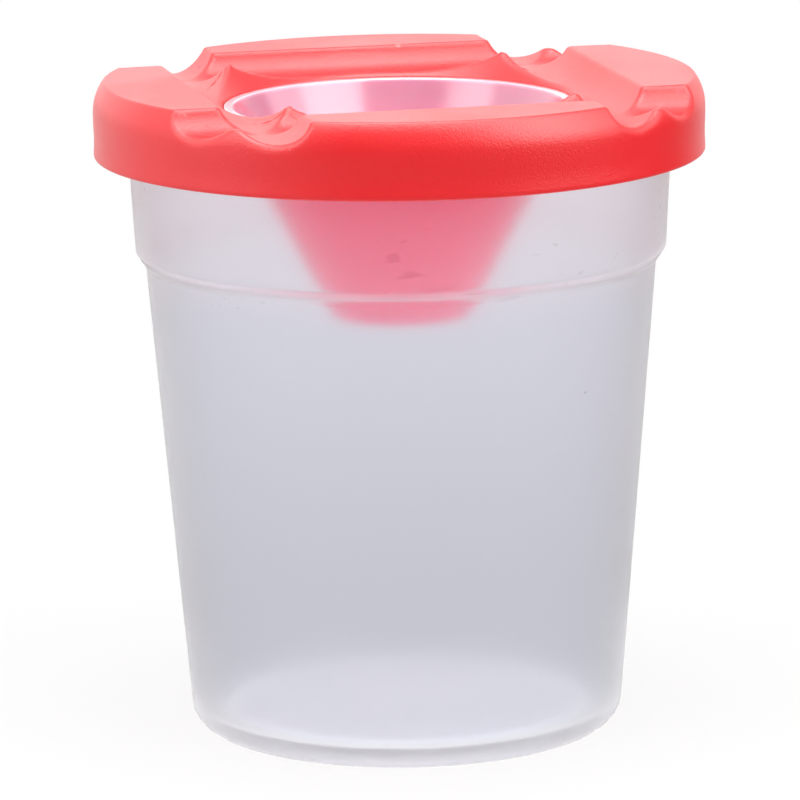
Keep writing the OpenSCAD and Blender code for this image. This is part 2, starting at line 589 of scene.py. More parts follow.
@dataclass(frozen=True)
class FrostedShell(Finish):
    """Frosted plastic that blurs what lies behind it, with a painted pink glow on the collar for light from
    the lid and funnel, and a scuffed step.
    """

    ior: float = 1.2
    specular: float = 1.0
    clear_share: float = 0.98
    let_through: float = 0.99
    bloom: float = 0.42
    bloom_roughness: float = 0.35
    # Pink light from the lid and the funnel, painted onto the collar between two heights
    painted_pink_glow: Colour = srgb(249, 245, 250)
    painted_pink_glow_from_mm: float = 61.0
    painted_pink_glow_to_mm: float = 69.0
    scuffed_mm: float = 67.9
    scuffed_half_mm: float = 0.6
    scuffed_core: float = 0.85
    scuffed_frost: float = 0.7
    scuffed: Colour = srgb(205, 186, 195)
    scuff_share: float = 0.6
    speck: Colour = srgb(150, 146, 152)
    speck_scale: float = 80.0
    speck_edge: Point2 = (0.01, 0.02)
    foot_frost: float = 0.2
    foot_frost_mm: float = 7.0

    def tint(self, dressing: Dressing, height: Pin) -> Pin:
        """Colour of the plastic, with the collar's painted pink glow and scuffs and a few dark specks.

        Args:
            dressing: The material in the making.
            height: Height over the table.

        Returns:
            The colour.
        """
        graph = dressing.graph
        specks = graph.node("ShaderNodeTexVoronoi")
        graph.fill(specks, {"Vector": dressing.place, "Scale": self.speck_scale})
        speck = graph.spread(specks.outputs["Distance"], *self.speck_edge, 1.0, 0.0)
        # Painted pink glow on the collar, where the scuffs also lie
        collar = graph.spread(height, self.painted_pink_glow_from_mm * MM, self.painted_pink_glow_to_mm * MM)
        scuffs = graph.times(graph.times(dressing.scratches, collar), self.scuff_share)
        tinted = graph.blend(scuffs, graph.blend(collar, dressing.colour, self.painted_pink_glow), self.scuffed)
        return graph.blend(speck, tinted, self.speck)

    def frost(self, dressing: Dressing, height: Pin) -> Pin:
        """Roughness of the plastic, which is higher at the foot and along the scuffed step.

        Args:
            dressing: The material in the making.
            height: Height over the table.

        Returns:
            The roughness.
        """
        graph = dressing.graph
        foot = graph.spread(height, 0.0, self.foot_frost_mm * MM, self.foot_frost, 0.0)
        off_step = graph.math("ABSOLUTE", graph.math("SUBTRACT", height, self.scuffed_mm * MM))
        half = self.scuffed_half_mm * MM
        step = graph.spread(off_step, half * self.scuffed_core, half, self.scuffed_frost, 0.0)
        return graph.math("ADD", graph.math("ADD", dressing.roughness, foot), step)

    def build(self, effects: PlasticEffects) -> Material:
        """Builds the finish, which lets the lamps' light through into the cup.

        Args:
            effects: The shared effects.

        Returns:
            The finished material.
        """
        dressing = self.start(effects)
        graph, shader = dressing.graph, dressing.shader
        axes = graph.node("ShaderNodeSeparateXYZ")
        graph.join(dressing.place, axes.inputs[0])
        height = axes.outputs["Z"]
        graph.fill(shader, {
            "Base Color": self.tint(dressing, height),
            "Roughness": self.frost(dressing, height),
            "Sheen Weight": self.bloom,
            "Sheen Roughness": self.bloom_roughness,
            "Transmission Weight": self.clear_share,
            "IOR": self.ior,
            "Specular IOR Level": self.specular,
        })
        through = graph.node("ShaderNodeBsdfTransparent")
        graph.fill(through, {"Color": (self.let_through, self.let_through, self.let_through, 1.0)})
        ray = graph.node("ShaderNodeLightPath")
        unseen = graph.largest(ray.outputs["Is Shadow Ray"], ray.outputs["Is Diffuse Ray"])
        graph.join(graph.either(unseen, shader, through), dressing.output.inputs["Surface"])
        return dressing.material


CORAL = CoralShell(
    name="coral_matte_plastic",
    colour=srgb(226, 19, 27),
    drifted=srgb(230, 25, 33),
    roughness=0.31,
    roughness_swing=0.06,
    grain_scale=3800.0,
    grain_depth_mm=0.055,
    ripple_share=0.2,
    scratch_depth=0.15,
)
PINK = PinkGloss(
    name="pink_gloss_plastic",
    colour=srgb(244, 76, 118),
    drifted=srgb(244, 82, 123),
    roughness=0.2,
    roughness_swing=0.05,
    grain_scale=1800.0,
    grain_depth_mm=0.008,
    ripple_share=0.7,
    scratch_depth=0.3,
)
FROSTED = FrostedShell(
    name="frosted_clear_plastic",
    colour=srgb(243, 243, 249),
    drifted=srgb(242, 243, 249),
    roughness=0.28,
    roughness_swing=0.03,
    grain_scale=3200.0,
    grain_depth_mm=0.004,
    ripple_share=0.3,
    scratch_depth=0.2,
)


def rounded(corners: Sequence[Point3], steps: int = 6, support: float = 0.35) -> list[Point2]:
    """Rounds the corners of an open outline.

    Args:
        corners: Distance from the axis, height and radius of each corner.
        steps: Flats in each rounded corner.
        support: Length of the short straight beside a round, so that flats shade flat.

    Returns:
        The outline's points.
    """
    points: list[Point2] = []
    last = len(corners) - 1
    for index, (x, z, radius) in enumerate(corners):
        here = np.array((x, z))
        if index in (0, last) or radius <= 0:
            points.append((x, z))
            continue
        back = np.array(corners[index - 1][:2]) - here
        ahead = np.array(corners[index + 1][:2]) - here
        room_back, room_ahead = np.linalg.norm(back), np.linalg.norm(ahead)
        back, ahead = back / room_back, ahead / room_ahead
        half = math.acos(float(np.clip(back @ ahead, -1, 1))) / 2
        reach = radius / math.tan(half)
        middle = here + (back + ahead) / np.linalg.norm(back + ahead) * radius / math.sin(half)
        first, final = here + back * reach - middle, here + ahead * reach - middle
        turn = math.atan2(first[0] * final[1] - first[1] * final[0], float(first @ final))
        if reach + support < room_back / 2:
            points.append(tuple(here + back * (reach + support)))
        for step in range(steps + 1):
            angle = turn * step / steps
            cos, sin = math.cos(angle), math.sin(angle)
            turned_x = middle[0] + first[0] * cos - first[1] * sin
            points.append((turned_x, middle[1] + first[0] * sin + first[1] * cos))
        if reach + support < room_ahead / 2:
            points.append(tuple(here + ahead * (reach + support)))
    return [(float(x), float(z)) for x, z in points]


class TurnedForm:
    """A form turned about the cup's axis by a Geometry Nodes tree, from a half outline."""

    # Radius of the circle that carries the outline, which each outline's distances are measured from
    PATH_RADIUS_MM = 10.0

    def __init__(self) -> None:
        """Builds the tree once for every turned piece."""
        self.tree = bpy.data.node_groups.new("turned_form", "GeometryNodeTree")
        sockets = self.tree.interface

        def given(label: str, kind: Kind) -> str:
            """Adds an input and returns its identifier."""
            return sockets.new_socket(label, in_out="INPUT", socket_type=kind.value).identifier

        given("Outline", Kind.SHAPE)
        self.steps_id = given("Steps Round", Kind.COUNT)
        self.path_id = given("Path Radius", Kind.NUMBER)
        self.finish_id = given("Finish", Kind.MATERIAL)
        sockets.new_socket("Turned", in_out="OUTPUT", socket_type=Kind.SHAPE.value)
        graph = Graph(self.tree)
        entry, leave = graph.node("NodeGroupInput"), graph.node("NodeGroupOutput")
        outline = graph.node("GeometryNodeMeshToCurve")
        path = graph.node("GeometryNodeCurvePrimitiveCircle", mode="RADIUS")
        sweep = graph.node("GeometryNodeCurveToMesh")
        weld = graph.node("GeometryNodeMergeByDistance")
        smooth = graph.node("GeometryNodeSetShadeSmooth")
        real = graph.node("GeometryNodeRealizeInstances")
        dress = graph.node("GeometryNodeSetMaterial")
        graph.fill(outline, {"Mesh": entry.outputs["Outline"]})
        graph.fill(path, {
            "Resolution": entry.outputs["Steps Round"], "Radius": entry.outputs["Path Radius"]})
        graph.fill(sweep, {"Curve": path.outputs["Curve"], "Profile Curve": outline.outputs["Curve"]})
        graph.fill(weld, {"Geometry": sweep.outputs["Mesh"], "Distance": WELD})
        graph.fill(smooth, {"Geometry": weld.outputs["Geometry"]})
        graph.fill(real, {"Geometry": smooth.outputs["Geometry"]})
        graph.fill(dress, {"Geometry": real.outputs["Geometry"], "Material": entry.outputs["Finish"]})
        graph.fill(leave, {"Turned": dress.outputs["Geometry"]})

    def make(self, name: str, outline: Sequence[Point2], steps: int, finish: Material) -> Piece:
        """Turns an outline into a plain mesh object.

        Args:
            name: Name of the piece.
            outline: Distance from the axis and height of each point, up the outside and down the inside.
            steps: Steps round the axis.
            finish: Material of the piece.

        Returns:
            The piece, at the origin.
        """
        chain = [((x - self.PATH_RADIUS_MM) * MM, -z * MM, 0.0) for x, z in reversed(outline)]
        mesh = bpy.data.meshes.new(name + "_outline")
        mesh.from_pydata(chain, [(i, i + 1) for i in range(len(chain) - 1)], [])
        piece = add_object(name, mesh)
        tree = piece.modifiers.new("turned_form", "NODES")
        tree.node_group = self.tree
        tree[self.steps_id] = steps
        tree[self.path_id] = self.PATH_RADIUS_MM * MM
        tree[self.finish_id] = finish
        shape = bpy.data.meshes.new_from_object(piece.evaluated_get(bpy.context.evaluated_depsgraph_get()))
        piece.modifiers.clear()
        piece.data = shape
        shape.name = name
        bpy.data.meshes.remove(mesh)
        settle(shape)
        return piece


def settle(mesh: Mesh, crease_deg: float = 40.0) -> None:
    """Turns a closed mesh's faces outwards, shades it smooth and keeps its real corners sharp.

    Args:
        mesh: The mesh to settle.
        crease_deg: Angle above which an edge stays sharp.
    """
    work = bmesh.new()
    work.from_mesh(mesh)
    bmesh.ops.remove_doubles(work, verts=work.verts, dist=WELD)
    bmesh.ops.recalc_face_normals(work, faces=work.faces)
    if work.calc_volume(signed=True) < 0:
        bmesh.ops.reverse_faces(work, faces=work.faces)
    loose = sum(1 for edge in work.edges if not edge.is_manifold)
    work.to_mesh(mesh)
    work.free()
    mesh.shade_smooth()
    mesh.set_sharp_from_angle(angle=math.radians(crease_deg))
    LOG.info("%s: %d vertices, %d open edges", mesh.name, len(mesh.vertices), loose)


def ease(value: np.ndarray, low: float, high: float) -> np.ndarray:
    """Rises smoothly from 0 at low to 1 at high."""
    share = np.clip((value - low) / (high - low), 0, 1)
    return share * share * (3 - 2 * share)


@dataclass
class Cup:
    """The frosted cup: tapered body, step, leaning collar and beaded rim."""

    height: float = 87.75
    base_r: float = 30.25
    body_top_r: float = 35.8
    step_z: float = 66.5
    step_out: float = 1.4
    step_h: float = 2.1
    collar_out: float = 1.05
    bead_out: float = 0.5
    bead_h: float = 2.2
    bead_lean: float = 0.12
    wall: float = 1.3
    floor_t: float = 1.6
    floor_lean: float = 0.23
    foot_hollow: float = 1.2
    foot_in_r: float = 24.17
    hollow_round: float = 0.4
    foot_lip_round: float = 0.3
    foot_round: float = 4.0
    under_step_round: float = 0.5
    step_round: float = 0.9
    under_bead_round: float = 0.3
    bead_round: float = 0.25
    rim_round: float = 0.4
    inner_step_round: float = 0.7
    floor_round: float = 3.2
    steps: int = 256

    def __post_init__(self) -> None:
        """Works out the sizes that follow from the others."""
        self.step_top_r = self.body_top_r + self.step_out
        self.step_top_z = self.step_z + self.step_h
        self.rim_r = self.step_top_r + self.collar_out
        self.bead_r = self.rim_r + self.bead_out
        self.mouth_r = self.rim_r - self.wall
        self.floor_z = self.foot_hollow + self.floor_t

    def outline(self) -> list[Point2]:
        """Works out the cup's half outline.

        Returns:
            Its points, up the outside, over the rim and down the inside.
        """
        bead_low = self.height - self.bead_h
        return rounded([
            (0.0, self.foot_hollow, 0.0),
            (self.foot_in_r - self.foot_hollow, self.foot_hollow, self.hollow_round),
            (self.foot_in_r, 0.0, self.foot_lip_round),
            (self.base_r, 0.0, self.foot_round),
            (self.body_top_r, self.step_z, self.under_step_round),
            (self.step_top_r, self.step_top_z, self.step_round),
            (self.rim_r - self.bead_lean, bead_low, self.under_bead_round),
            (self.bead_r, bead_low + self.bead_out, self.bead_round),
            (self.bead_r, self.height, self.rim_round),
            (self.mouth_r, self.height, self.rim_round),
            (self.step_top_r - self.wall, self.step_top_z, self.step_round),
            (self.body_top_r - self.wall, self.step_z, self.inner_step_round),
            (self.base_r - self.wall + self.floor_lean, self.floor_z, self.floor_round),
            (0.0, self.floor_z, 0.0),
        ])

    def build(self, turned: TurnedForm, effects: PlasticEffects) -> Piece:
        """Builds and dresses the cup.

        Args:
            turned: The tree that turns outlines.
            effects: The shared plastic effects.

        Returns:
            The cup's visible piece.
        """
        piece = turned.make("cup_shell", self.outline(), self.steps, FROSTED.build(effects))
        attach(piece, Body.CUP.value)
        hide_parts("cup")
        return piece


@dataclass
class Funnel:
    """The pink funnel: a band that drops into the lid, over a cone that is open at its tip."""

    rim_r: float = 24.5
    rim_z: float = 88.65
    height: float = 29.75
    band_h: float = 3.25
    band_t: float = 1.25
    seat_w: float = 0.7
    tip_r: float = 9.8
    cone_t: float = 1.2
    tip_flat: float = 0.3
    tip_round: float = 0.45
    under_band_round: float = 0.15
    band_round: float = 0.2
    rim_round: float = 0.15
    inner_rim_round: float = 0.35
    inner_tip_round: float = 0.3
    steps: int = 256

    # Between which distances the masks of the inside, of the lip's painted highlight and of the paler tip
    # fade, in millimetres
    INSIDE_FADE = (0.3, 0.6)
    LIP_FADE = (0.3, 0.05)
    TIP_FADE = (0.5, 6.0)
    TIP_SHARE = 0.4

    def __post_init__(self) -> None:
        """Works out the sizes that follow from the others."""
        self.seat_z = self.rim_z - self.band_h
        self.tip_z = self.rim_z - self.height
        self.cone_top_r = self.rim_r - self.seat_w
        self.mouth_r = self.rim_r - self.band_t
        self.throat_r = self.tip_r - self.cone_t

    def outline(self) -> list[Point2]:
        """Works out the funnel's half outline.

        Returns:
            Its points, up the outside, over the rim and down the inside to where they began.
        """
        return rounded([
            (self.throat_r + self.tip_flat, self.tip_z, 0.0),
            (self.tip_r, self.tip_z, self.tip_round),
            (self.cone_top_r, self.seat_z, self.under_band_round),
            (self.rim_r, self.seat_z, self.band_round),
            (self.rim_r, self.rim_z, self.rim_round),
            (self.mouth_r, self.rim_z, self.inner_rim_round),
            (self.throat_r, self.tip_z, self.inner_tip_round),
            (self.throat_r + self.tip_flat, self.tip_z, 0.0),
        ])

    def mask(self, mesh: Mesh) -> None:
        """Marks the mesh's inside and its lip, where the material paints reflections and a highlight, and
        its paler tip.

        Args:
            mesh: The funnel's mesh, in metres.
        """
        flat = np.empty(len(mesh.vertices) * 3)
        mesh.vertices.foreach_get("co", flat)
        x, y, z = flat.reshape(-1, 3).T / MM
        lean = (self.mouth_r - self.throat_r) / self.height
        inner_r = self.throat_r + (z - self.tip_z) * lean
        lip_low, lip_high = (self.rim_z - down for down in self.LIP_FADE)
        tip_low, tip_high = (self.tip_z + up for up in self.TIP_FADE)
        tip = self.TIP_SHARE * (1 - ease(z, tip_low, tip_high))
        add_mask(mesh, "inside", 1 - ease(np.hypot(x, y) - inner_r, *self.INSIDE_FADE))
        add_mask(mesh, "lip", ease(z, lip_low, lip_high) + tip)

    def build(self, turned: TurnedForm, effects: PlasticEffects) -> Piece:
        """Builds and dresses the funnel.

        Args:
            turned: The tree that turns outlines.
            effects: The shared plastic effects.

        Returns:
            The funnel's visible piece.
        """
        piece = turned.make("funnel_cone", self.outline(), self.steps, PINK.build(effects))
        self.mask(piece.data)
        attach(piece, Body.FUNNEL.value)
        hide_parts("funnel")
        return piece


def level_ways(points: np.ndarray) -> tuple[np.ndarray, np.ndarray]:
    """Measures how far points lie from the cup's axis.

    Args:
        points: The points.

    Returns:
        The distance of each point, and the level direction away from the axis.
    """
    radius = np.hypot(points[:, 0], points[:, 1])
    way = np.zeros_like(points)
    way[:, :2] = points[:, :2] / np.maximum(radius, TINY)[:, None]
    return radius, way


def upright(count: int) -> np.ndarray:
    """The upward direction, once for each of some points."""
    return np.tile((0.0, 0.0, 1.0), (count, 1))


def meet(first: Skin, second: Skin, radius: object) -> Skin:
    """Intersects two solids given by distance fields, with a round along their common edge.

    Args:
        first: Distance outside the first solid, and the direction in which it grows.
        second: The same of the second solid.
        radius: Radius of the round, one value or one for each point.

    Returns:
        The same of what both solids share.
    """
    (far_a, way_a), (far_b, way_b) = first, second
    half = np.sqrt((1 + np.clip((way_a * way_b).sum(1), -1, 1)) / 2)
    reach = radius * (1 - half) / (1 - math.sqrt(0.5))
    over_a, over_b = np.maximum(far_a + reach, 0), np.maximum(far_b + reach, 0)
    length = np.hypot(over_a, over_b)
    far = np.minimum(-reach, np.maximum(far_a, far_b)) + length
    share_a = np.where(length > TINY, over_a / np.maximum(length, TINY), far_a >= far_b)
    share_b = np.where(length > TINY, over_b / np.maximum(length, TINY), far_a < far_b)
    way = way_a * share_a[:, None] + way_b * share_b[:, None]
    return far, way / np.maximum(np.linalg.norm(way, axis=1, keepdims=True), TINY)


@dataclass
class LidForm:
    """The rule of the lid's upper side: a turned shell, four round rests across it and a flared mouth."""

    cup: Cup
    funnel: Funnel
    height: float = 10.5
    wall: float = 1.3
    skirt_gap: float = 2.7
    seat_gap: float = 0.15
    funnel_gap: float = 0.12
    shoulder_h: float = 4.3
    shoulder_r: float = 6.913
    edge_round: float = 0.6
    rest_at: float = 25.0
    rest_r: float = 4.8
    rest_depth: float = 3.3
    cross_rise: float = 0.05
    lip_round: float = 0.7
    corner_round: float = 1.0
    exit_lip: float = 0.9
    exit_round: float = 2.2
    exit_from_r: float = 37.0
    exit_to_r: float = 42.0
    mouth_round: float = 0.8

    def __post_init__(self) -> None:
        """Works out the sizes that follow from the others."""
        self.lid_r = self.cup.bead_r + self.skirt_gap + self.wall
        rest_floor_z = self.cup.height + self.seat_gap + self.wall
        self.rest_axis_z = rest_floor_z + self.rest_r
        self.top_z = rest_floor_z + self.rest_depth
        self.skirt_z = self.top_z - self.height
        self.shoulder_z = self.top_z - self.shoulder_h
        self.shoulder_x = self.lid_r - self.shoulder_r
        self.pocket_r = self.funnel.rim_r + self.funnel_gap
        self.mouth_z = self.funnel.rim_z

    def shell(self, points: np.ndarray) -> Skin:
        """Measures the turned outside of the lid.

        Args:
            points: Points to measure.

        Returns:
            Distance outside it, and the direction in which it grows.
        """
        radius, out = level_ways(points)
        up = upright(len(points))
        plateau = (points[:, 2] - self.top_z, up)
        across = np.maximum(radius - self.shoulder_x, 0)
        rise = np.maximum(points[:, 2] - self.shoulder_z, 0)
        length = np.maximum(np.hypot(across, rise), TINY)
        way = out * (across / length)[:, None] + up * (rise / length)[:, None]
        return meet(plateau, (length - self.shoulder_r, way), self.edge_round)

    def rest(self, points: np.ndarray, across: int, rise: float) -> Skin:
        """Measures what two parallel rests leave of the lid.

        Args:
            points: Points to measure.
            across: Index of the coordinate that runs across the rests.
            rise: How much higher these rests lie.

        Returns:
            Distance into the rests' air, and the direction in which it grows.
        """
        side = np.where(points[:, across] < 0, -1.0, 1.0)
        aside = points[:, across] * side - self.rest_at
        above = points[:, 2] - (self.rest_axis_z + rise)
        length = np.maximum(np.hypot(aside, above), TINY)
        way = np.zeros_like(points)
        way[:, across] = -aside / length * side
        way[:, 2] = -above / length
        return self.rest_r - length, way

    def mouth(self, points: np.ndarray) -> Skin:
        """Measures what the flared mouth and the pocket under it leave of the lid.

        Args:
            points: Points to measure.

        Returns:
            Distance into the mouth's air, and the direction in which it grows.
        """
        radius, out = level_ways(points)
        slant = math.sqrt(0.5)
        flare = (self.pocket_r + points[:, 2] - self.mouth_z - radius) * slant
        lean = -out * slant
        lean[:, 2] = slant
        pocket = self.pocket_r - radius
        return np.maximum(flare, pocket), np.where((flare > pocket)[:, None], lean, -out)

    def field(self, points: np.ndarray, roundness: float = 1.0) -> np.ndarray:
        """Distance outside the lid's upper side.

        Args:
            points: Points in millimetres.
            roundness: Share of the rounds that is applied.

        Returns:
            One value for each point, negative inside the plastic.
        """
        radius = np.hypot(points[:, 0], points[:, 1])
        exits = ease(radius, self.exit_from_r, self.exit_to_r)
        corner = (self.corner_round + (self.exit_round - self.corner_round) * exits) * roundness
        lip = (self.lip_round + (self.exit_lip - self.lip_round) * exits) * roundness
        rests = meet(self.rest(points, 1, 0.0), self.rest(points, 0, self.cross_rise), corner)
        cut = meet(self.shell(points), rests, lip)
        return meet(cut, self.mouth(points), self.mouth_round * roundness)[0]

    def land(self, start: np.ndarray, way: np.ndarray, far: float) -> np.ndarray:
        """Moves points from inside the plastic along straight ways to its surface.

        Args:
            start: Points inside the plastic.
            way: Unit direction for each point.
            far: Length of the longest way.

        Returns:
            The points on the surface.
        """
        marches, halvings = 56, 24
        low, high = np.zeros(len(start)), np.full(len(start), far)
        open_yet = np.ones(len(start), bool)
        for march in range(1, marches + 1):
            reach = far * march / marches
            out = self.field(start + way * reach) > 0
            high = np.where(out & open_yet, reach, high)
            open_yet &= ~out
            low = np.where(open_yet, reach, low)
        for _ in range(halvings):
            middle = (low + high) / 2
            out = self.field(start + way * middle[:, None]) > 0
            low, high = np.where(out, low, middle), np.where(out, middle, high)
        return start + way * high[:, None]


class ShellMesh:
    """Collects vertices, rings and the faces between them."""

    def __init__(self) -> None:
        """Starts empty."""
        self.blocks: list[np.ndarray] = []
        self.faces: list[tuple[int, ...]] = []
        self.count = 0

    def add(self, points: np.ndarray) -> np.ndarray:
        """Adds vertices.

        Args:
            points: Their places, in millimetres.

        Returns:
            Their numbers.
        """
        self.blocks.append(points)
        self.count += len(points)
        return np.arange(self.count - len(points), self.count)

    def bridge(self, outer: np.ndarray, inner: np.ndarray) -> None:
        """Fills the band between two rings.

        Args:
            outer: Vertices of one ring.
            inner: Vertices of the other ring, as many or half as many.
        """
        size = len(inner)
        if len(outer) == size:
            after = np.roll(np.arange(size), -1)
            self.faces += [
                (int(outer[i]), int(outer[j]), int(inner[j]), int(inner[i])) for i, j in enumerate(after)]
            return
        for i in range(size):
            j = (i + 1) % size
            a, b, c = (int(outer[k % len(outer)]) for k in (2 * i, 2 * i + 1, 2 * i + 2))
            self.faces += [(a, b, int(inner[i])), (b, int(inner[j]), int(inner[i])), (b, c, int(inner[j]))]

    def grow(self, edge: np.ndarray, points: np.ndarray) -> np.ndarray:
        """Adds a ring beyond the edge and fills the band between them.

        Args:
            edge: Vertices of the ring from which the mesh grows.
            points: Points of the new ring.

        Returns:
            Vertices of the new ring.
        """
        ring = self.add(points)
        self.bridge(edge, ring)
        return ring

    def mesh(self, name: str) -> tuple[Mesh, np.ndarray]:
        """Makes the mesh.

        Args:
            name: Name of the mesh.

        Returns:
            The mesh, in metres, and its vertices in millimetres.
        """
        points = np.vstack(self.blocks)
        made = bpy.data.meshes.new(name)
        made.from_pydata([tuple(p) for p in points * MM], [], self.faces)
        return made, points


@dataclass
class Lid:
    """The coral lid: rounded plateau and shoulder, four brush rests, funnel pocket, plug ring and skirt."""

    form: LidForm
    inner_ring_r: float = 29.1
    outer_ring_r: float = 40.6
    fan_z: float = 87.2
    round_steps: int = 960
    plug_gap: float = 0.15
    plug_h: float = 5.0
    plug_t: float = 1.2
    plug_lean: float = 0.27
    collar_t: float = 1.2
    # Width of the painted highlight along the lips of the upper side, and the height above which it lies
    lip_highlight_mm: float = 0.4
    lip_highlight_from_z: float = 87.7

    # Longest ways from the fan's height up and out to the surface, in millimetres
    UP, OUT = 6.0, 7.0
    # How far the plan's lines stay off its rings, and how far its faces may pass the inner one
    RING_MARGIN = 0.12
    RING_SLACK = 0.02
    PLAN_WELD = 1e-5
    # Angles of the ways over the shoulder, in degrees above the level
    FAN_DEG = (86, 82, 79, 77, 75.5, 74, 72.5, 71, 69.5, 68, 66, 63, 59, 54, 49, 44, 38, 32, 26, 20, 14,
               7, 0)
    # Lines along each rest, by their distance from its centre line
    ACROSS = (0.0, 0.7, 1.4, 2.1, 2.7, 3.2, 3.6, 3.9, 4.1, 4.3, 4.45, 4.6, 4.75, 4.9, 5.05, 5.2, 5.4,
              5.7, 6.3)
    # Lines between the rests and beyond them, by their distance from the axis
    BETWEEN = (0.0, 2.4, 4.8, 7.2, 9.6, 12.0, 14.4, 16.6, 32.0, 33.0, 34.2, 35.6, 37.2, 39.0)
    # Radii of the plan's own rings, and of the rings down the flared mouth
    GUIDE_RINGS = (29.4, 29.8, 30.3, 38.2, 38.8, 39.3, 39.8, 40.2)
    MOUTH_RINGS = (28.85, 28.6, 28.35, 28.1, 27.8, 27.4, 26.9, 26.4, 25.9, 25.4, 25.0, 24.8, 24.68)
    # Height of each ring down the pocket's wall, and by how much its steps are thinned
    POCKET_RINGS = ((88.5, 1), (88.2, 2), (87.6, 4))
    # Inset from the lid's radius and height over the skirt's edge of each ring down it, and its thinning
    SKIRT_RINGS = ((0.03, 4.2, 1), (0.07, 3.2, 2), (0.08, 2.4, 4), (0.05, 1.5, 4), (0.01, 0.7, 4),
                   (0.0, 0.4, 4), (0.03, 0.25, 4), (0.12, 0.12, 4), (0.25, 0.03, 4), (0.4, 0.0, 4))
    # Underside: how many steps of the upper side's rings each step of its own spans
    THINNED = 4
    # Underside: inset and height of each ring inside the skirt's edge, and rises along the shoulder's arc
    SKIRT_EDGE = ((0.3, 0.0), (0.09, 0.09), (0.0, 0.3), (0.0, 2.6), (0.0, 4.8))
    ARC_RISES = (0.0, 0.8, 1.5, 2.1, 2.6, 3.0)
    # Underside: the ceiling's first and last radius, its gap to the plug ring, and the back of the mouth
    CEILING_R = (40.0, 29.6)
    OFF_PLUG = 0.4
    FLARE_BACK_R = (29.01, 26.46)
    FLARE_MIDDLE = (27.7, 89.9)
    # Underside: rings halfway up the upright walls, and the small bevels at the collar's foot
    PLUG_MIDDLE_Z = 89.4
    COLLAR_RINGS_Z = (88.0, 86.2)
    COLLAR_SOFT, LEDGE_SOFT = 0.25, 0.2

    def __post_init__(self) -> None:
        """Works out the sizes that follow from the others."""
        cup, funnel = self.form.cup, self.form.funnel
        self.roof_r = self.form.rest_r + self.form.wall
        self.plug_r = cup.mouth_r - self.plug_gap
        self.plug_low_r = self.plug_r - self.plug_lean
        self.plug_z = cup.height - self.plug_h
        self.collar_r = self.form.pocket_r + self.collar_t
        self.collar_z = funnel.seat_z - self.collar_t
        self.ledge_r = funnel.cone_top_r + self.form.funnel_gap

    def ring(self, radius: float, height: float, steps: int) -> np.ndarray:
        """Points of a level circle."""
        angle = np.arange(steps) * 2 * math.pi / steps
        return np.stack([radius * np.cos(angle), radius * np.sin(angle), np.full(steps, height)], 1)

    def plan(self) -> tuple[np.ndarray, list[tuple[int, int]]]:
        """Lays out the plan of the rests' band, with the lines that run along the rests.

        Returns:
            The plan points, of which the outer and inner rings come first, and pairs of points to join.
        """
        steps, least = self.round_steps, self.inner_ring_r + self.RING_MARGIN
        rings = [self.ring(r, 0, steps)[:, :2] for r in (self.outer_ring_r, self.inner_ring_r)]
        offsets = {side * d for side in (-1, 1) for d in self.BETWEEN}
        offsets |= {s * (self.form.rest_at + t * d) for s in (-1, 1) for t in (-1, 1) for d in self.ACROSS}
        lines = np.array(sorted(offsets))
        grid_x, grid_y = np.meshgrid(lines, lines, indexing="ij")
        radius = np.hypot(grid_x, grid_y)
        kept = (radius > least) & (radius < self.outer_ring_r - self.RING_MARGIN)
        number = np.full(kept.shape, -1)
        number[kept] = np.arange(kept.sum()) + 2 * steps
        joins = [(first + i, first + (i + 1) % steps) for first in (0, steps) for i in range(steps)]
        for shift_x, shift_y in ((1, 0), (0, 1)):
            a = number[: number.shape[0] - shift_x, : number.shape[1] - shift_y]
            b = number[shift_x:, shift_y:]
            mid_x = (grid_x[: a.shape[0], : a.shape[1]] + grid_x[shift_x:, shift_y:]) / 2
            mid_y = (grid_y[: a.shape[0], : a.shape[1]] + grid_y[shift_x:, shift_y:]) / 2
            free = (a >= 0) & (b >= 0) & (np.hypot(mid_x, mid_y) > least)
            joins += list(zip(a[free].tolist(), b[free].tolist()))
        guides = [self.ring(r, 0, steps // 2)[:, :2] for r in self.GUIDE_RINGS]
        return np.vstack([*rings, np.stack([grid_x[kept], grid_y[kept]], 1), *guides]), joins

    def band(self, shell: ShellMesh) -> tuple[np.ndarray, np.ndarray]:
        """Builds the plateau and the rests, between the plan's two rings.

        Args:
            shell: Mesh to add to.

        Returns:
            The band's outer and inner rings.
        """
        steps = self.round_steps
        points, joins = self.plan()
        corners = [Vector(point) for point in points]
        made, _, faces, origins, _, _ = delaunay_2d_cdt(corners, joins, [], 0, self.PLAN_WELD)
        plan = np.array([tuple(p) for p in made])
        number = np.full(len(points), -1)
        for index, sources in enumerate(origins):
            for source in sources:
                number[source] = index
        start = np.column_stack([plan, np.full(len(plan), self.fan_z)])
        first = shell.add(self.form.land(start, upright(len(plan)), self.UP))[0]
        for face in faces:
            middle = plan[list(face)].mean(0)
            if self.inner_ring_r - self.RING_SLACK < np.hypot(*middle) < self.outer_ring_r:
                shell.faces.append(tuple(int(first + i) for i in face))
        return first + number[:steps], first + number[steps:2 * steps]

